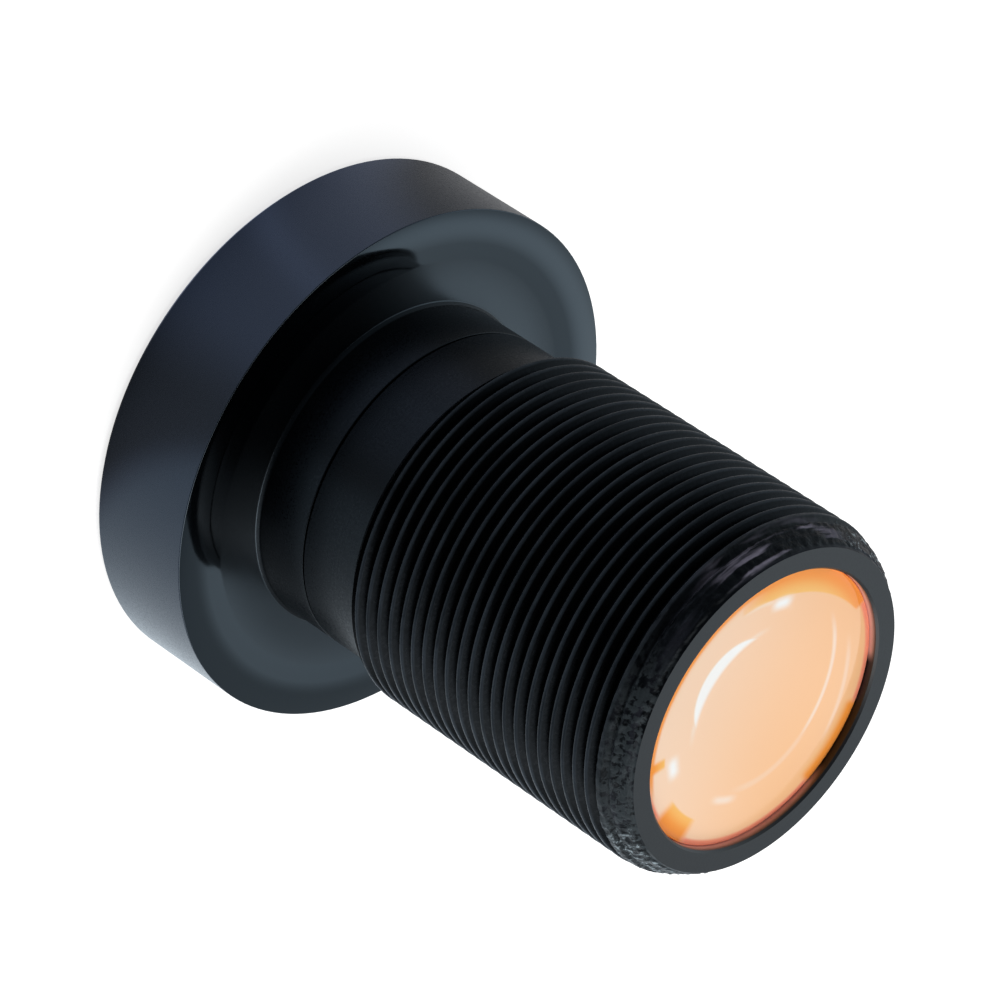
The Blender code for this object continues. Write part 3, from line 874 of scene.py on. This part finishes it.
def clear_glass():
    recipe = Recipe("clear_glass")
    dust = recipe.noise(recipe.place().point, DUST, detail=4.0)
    recipe.set(Base_Color=(*GLASS_TINT, 1.0), Roughness=recipe.ramp(dust, 0.6, 0.9, 0.01, 0.05))
    recipe.set(Transmission_Weight=1.0, IOR=1.52)
    return recipe.material


def dull_black(name, colour, roughness, grain):
    """Plain black of a piece inside the lens, with a fine grain."""
    recipe = Recipe(name)
    spots = recipe.noise(recipe.place().point, grain, detail=3.0)
    lighter = tuple(2 * part for part in colour)
    recipe.set(Base_Color=recipe.mix(spots, colour, lighter))
    recipe.set(Roughness=recipe.math("MULTIPLY_ADD", spots, 0.15, roughness - 0.07))
    recipe.bump(spots, 0.2, DULL_RELIEF)
    return recipe.material


def seen_white(recipe, seen, mirrored, unseen):
    """A strength for what the camera sees, what gloss and glass show, and what lights the lens."""
    path = recipe.add("ShaderNodeLightPath")
    by_glass = recipe.largest(path.outputs["Is Glossy Ray"], path.outputs["Is Transmission Ray"])
    strength = recipe.math("ADD", recipe.product(by_glass, recipe.math("SUBTRACT", mirrored, unseen)),
                           unseen)
    to_camera = recipe.math("SUBTRACT", seen, strength)
    return recipe.math("MULTIPLY_ADD", to_camera, path.outputs["Is Camera Ray"], strength)


def gloss_tint(recipe, tint):
    """White, and a tint in what gloss shows."""
    path = recipe.add("ShaderNodeLightPath")
    return recipe.mix(path.outputs["Is Glossy Ray"], (1.0, 1.0, 1.0), tint)


def studio_world():
    """White to the camera. Gloss shows it bright behind the lens and at -X, but for a dimmer gap, and dark
    above, at +X and on the camera's side."""
    world = bpy.data.worlds.new("studio")
    bpy.context.scene.world = world
    world.use_nodes = True
    recipe = Recipe(world=world)
    parts = recipe.add("ShaderNodeSeparateXYZ")
    recipe.feed(parts.inputs[0], recipe.add("ShaderNodeTexCoord").outputs["Generated"])
    x, y, z = parts.outputs
    behind = recipe.ramp(y, -0.3, 0.4, 0.3, 1.0)
    above = recipe.ramp(z, 0.65, 0.95, 1.0, 0.25)
    sides = recipe.ramp(x, -0.08, 0.08, 1.12, 0.42)
    gap = recipe.math("MULTIPLY_ADD", recipe.between(x, -0.38, -0.16, 0.06), -0.5, 1.0)
    mirrored = recipe.product(behind, above, sides, gap)
    light = recipe.ramp(y, -0.4, 0.5, 0.10, 0.85)
    recipe.feed(recipe.shader.inputs["Color"], gloss_tint(recipe, WORLD_TINT))
    recipe.feed(recipe.shader.inputs["Strength"], seen_white(recipe, 1.0, mirrored, light))


def studio_floor():
    """A pale floor that is white to the camera and still takes the lens's shadow. Gloss shows it bright at
    +X, dimmer in a stretch at -X and -Y with a streak in it, and nearly black elsewhere."""
    deselect()
    bpy.ops.mesh.primitive_plane_add(size=FLOOR_SIZE, location=(0, 0, -FLOOR_DROP))
    floor = bpy.context.object
    floor.name = "floor"
    recipe = Recipe("floor_white")
    place = recipe.place()
    bright_side = recipe.ramp(place.x, *BRIGHT_FLOOR)
    glow = recipe.math("MULTIPLY_ADD", recipe.sector(place, *DIM_FLOOR), 0.56, 0.03)
    glow = recipe.math("MULTIPLY_ADD", recipe.sector(place, *FLOOR_STREAK), 0.36, glow)
    glow = recipe.math("MULTIPLY_ADD", bright_side, 0.78, glow)
    tint = recipe.mix(bright_side, FLOOR_TINT, BRIGHT_FLOOR_TINT)
    recipe.set(Base_Color=(*FLOOR_GREY, 1.0), Roughness=0.9)
    recipe.set(Specular_IOR_Level=0.0)
    recipe.set(Emission_Color=gloss_tint(recipe, tint))
    recipe.set(Emission_Strength=seen_white(recipe, 0.75, glow, 0.0))
    floor.data.materials.append(recipe.material)


def panel(name, azimuth, elevation, distance, size, radiance):
    """A square soft light that faces the lens; azimuth 0 is the camera's side and 90 is +X."""
    across = math.radians(azimuth)
    up = math.radians(elevation)
    towards = Vector((math.sin(across) * math.cos(up), -math.cos(across) * math.cos(up), math.sin(up)))
    data = bpy.data.lights.new(name, "AREA")
    data.shape = "SQUARE"
    data.size = size
    data.energy = radiance * math.pi * size ** 2
    light = bpy.data.objects.new(name, data)
    bpy.context.scene.collection.objects.link(light)
    light.location = LIGHT_AIM + towards * distance
    light.rotation_mode = "QUATERNION"
    light.rotation_quaternion = towards.to_track_quat("Z", "Y")


def studio_lights():
    panel("key", azimuth=180, elevation=72, distance=0.5, size=0.30, radiance=2.15)
    panel("side", azimuth=100, elevation=45, distance=0.5, size=0.42, radiance=2.3)


def photo_camera():
    data = bpy.data.cameras.new("camera")
    data.lens = CAMERA_LENS
    data.sensor_width = CAMERA_SENSOR
    data.clip_start = MM
    camera = bpy.data.objects.new("camera", data)
    bpy.context.scene.collection.objects.link(camera)
    camera.location = CAMERA_PLACE
    look = (CAMERA_AIM - CAMERA_PLACE).to_track_quat("-Z", "Y")
    camera.rotation_mode = "QUATERNION"
    camera.rotation_quaternion = look @ Quaternion((0, 0, 1), CAMERA_ROLL)
    bpy.context.scene.camera = camera


def dress():
    """Finer pieces over the CAD nodes that show, and a material for every node."""
    side_black = anodised("head_side_black", HEAD_BLACK, HEAD_TINT, specular=0.55, smooth=0.18,
                          rough=0.32, marks=0.3)
    neck_black = anodised("neck_black", NECK_BLACK, NECK_TINT, specular=0.17, smooth=0.25, rough=0.4,
                          marks=0.2)
    ring_black = anodised("rear_ring_black", RING_BLACK, RING_TINT, specular=0.62, smooth=0.3, rough=0.4,
                          marks=0.1)
    glass = clear_glass()
    filter_look = filter_coating_and_painted_light()
    film = dull_black("black_film", FILM_BLACK, roughness=0.8, grain=FILM_GRAIN)
    brass = dull_black("blackened_brass", BRASS_BLACK, roughness=0.6, grain=FILM_GRAIN)
    rubber = dull_black("seal_rubber", RUBBER_BLACK, roughness=0.65, grain=RUBBER_GRAIN)

    settle(head(side_black, face_finish(), neck_black), side_black, "head_anodised", "head_housing")
    settle(barrel(thread_finish(), neck_black, worn_corner(), ring_black, bore_finish_with_painted_glow()), ring_black,
           "barrel_anodised", "threaded_barrel")
    settle(retaining_ring(), side_black, "ring_anodised", "front_retaining_ring")
    settle(seal_ring(), rubber, "seal_rubber", "front_seal_ring")
    settle(filter_plate(), filter_look, "filter_glass", "infrared_filter")
    settle(lens("front_element", FRONT_ELEMENT_RADIUS, FRONT_CLEAR_RADIUS, *FRONT_CURVES), glass,
           "optical_glass", "front_element")
    settle(lens("second_element", SECOND_ELEMENT_RADIUS, SECOND_CLEAR_RADIUS, *SECOND_CURVES), glass,
           "optical_glass", "second_element")
    settle(washer("front_shield", FRONT_ELEMENT_RADIUS, SECOND_CLEAR_RADIUS, SECOND_CLEAR_RADIUS), film,
           "black_film", "front_shield")
    settle(washer("head_spacer", SECOND_ELEMENT_RADIUS, SECOND_CLEAR_RADIUS, SECOND_CLEAR_RADIUS), brass,
           "blackened_brass", "head_spacer")

    finishes = {
        "aperture_stop": film, "middle_shield": film, "rear_shield": film,
        "first_spacer": brass, "stop_spacer": brass, "second_spacer": brass, "third_spacer": brass,
        "filter_seat": brass,
    }
    for name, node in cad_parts.items():
        material = finishes.get(name, glass if name.endswith("element") else side_black)
        node.data.materials.clear()
        node.data.materials.append(material)


def main():
    bpy.context.scene.view_settings.view_transform = "Standard"
    studio_world()
    studio_floor()
    studio_lights()
    photo_camera()
    dress()


main()
